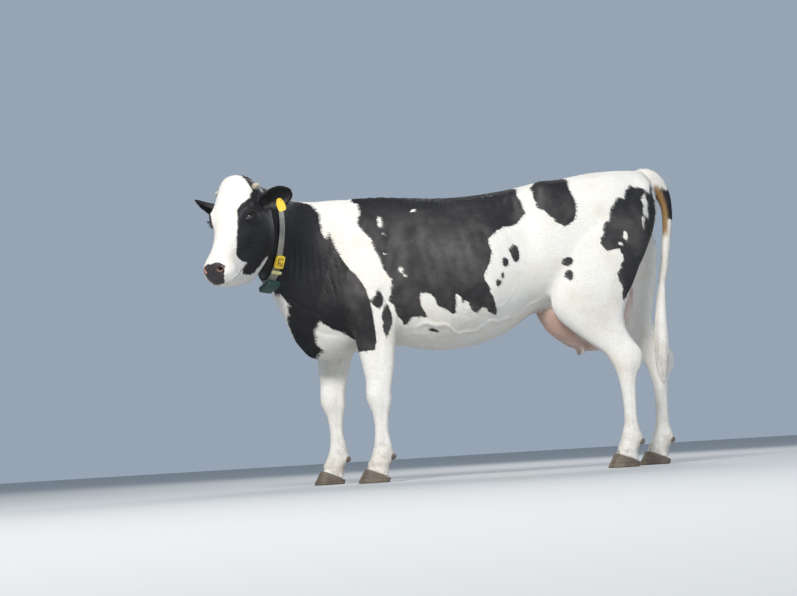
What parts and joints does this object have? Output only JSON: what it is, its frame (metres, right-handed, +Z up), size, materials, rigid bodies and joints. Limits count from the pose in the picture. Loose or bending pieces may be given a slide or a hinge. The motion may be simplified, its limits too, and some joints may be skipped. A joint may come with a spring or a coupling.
{
  "type": "cow",
  "caption": "Life-size standing black and white dairy cow, its head turned to its left, with a collar and an ear tag; a still display model.",
  "frame": {"origin": "on the floor, under the middle of the model's box", "axes": "+X towards the tail, +Y towards the cow's right, +Z up"},
  "size_m": [2.4244, 1.0054, 1.518],
  "materials": {
    "coat": "short white hair with black patches",
    "udder_skin": "bare soft skin",
    "eye": "wet gloss",
    "horn": "dull horn",
    "hoof": "worn horn",
    "collar_webbing": "worn grey webbing",
    "yellow_plastic": "moulded",
    "cream_plastic": "moulded",
    "green_plastic": "moulded"
  },
  "bodies": {
    "root": {"trunk": "coat", "neck": "coat", "head": "coat", "ear_left": "coat", "foreleg_left": "coat", "hindleg_left": "coat", "ear_right": "coat", "foreleg_right": "coat", "hindleg_right": "coat", "tail": "coat", "tail_switch": "coat", "udder": "udder_skin", "eye_left": "eye", "horn_left": "horn", "fore_claw_left_inner": "hoof", "fore_dewclaw_left_inner": "hoof", "fore_claw_left_outer": "hoof", "fore_dewclaw_left_outer": "hoof", "hind_claw_left_inner": "hoof", "hind_dewclaw_left_inner": "hoof", "hind_claw_left_outer": "hoof", "hind_dewclaw_left_outer": "hoof", "eye_right": "eye", "horn_right": "horn", "fore_claw_right_inner": "hoof", "fore_dewclaw_right_inner": "hoof", "fore_claw_right_outer": "hoof", "fore_dewclaw_right_outer": "hoof", "hind_claw_right_inner": "hoof", "hind_dewclaw_right_inner": "hoof", "hind_claw_right_outer": "hoof", "hind_dewclaw_right_outer": "hoof", "collar_strap": "collar_webbing", "collar_number_block": "yellow_plastic", "ear_tag": "yellow_plastic", "collar_buckle": "cream_plastic", "collar_transponder": "green_plastic"}
  },
  "joints": []
}
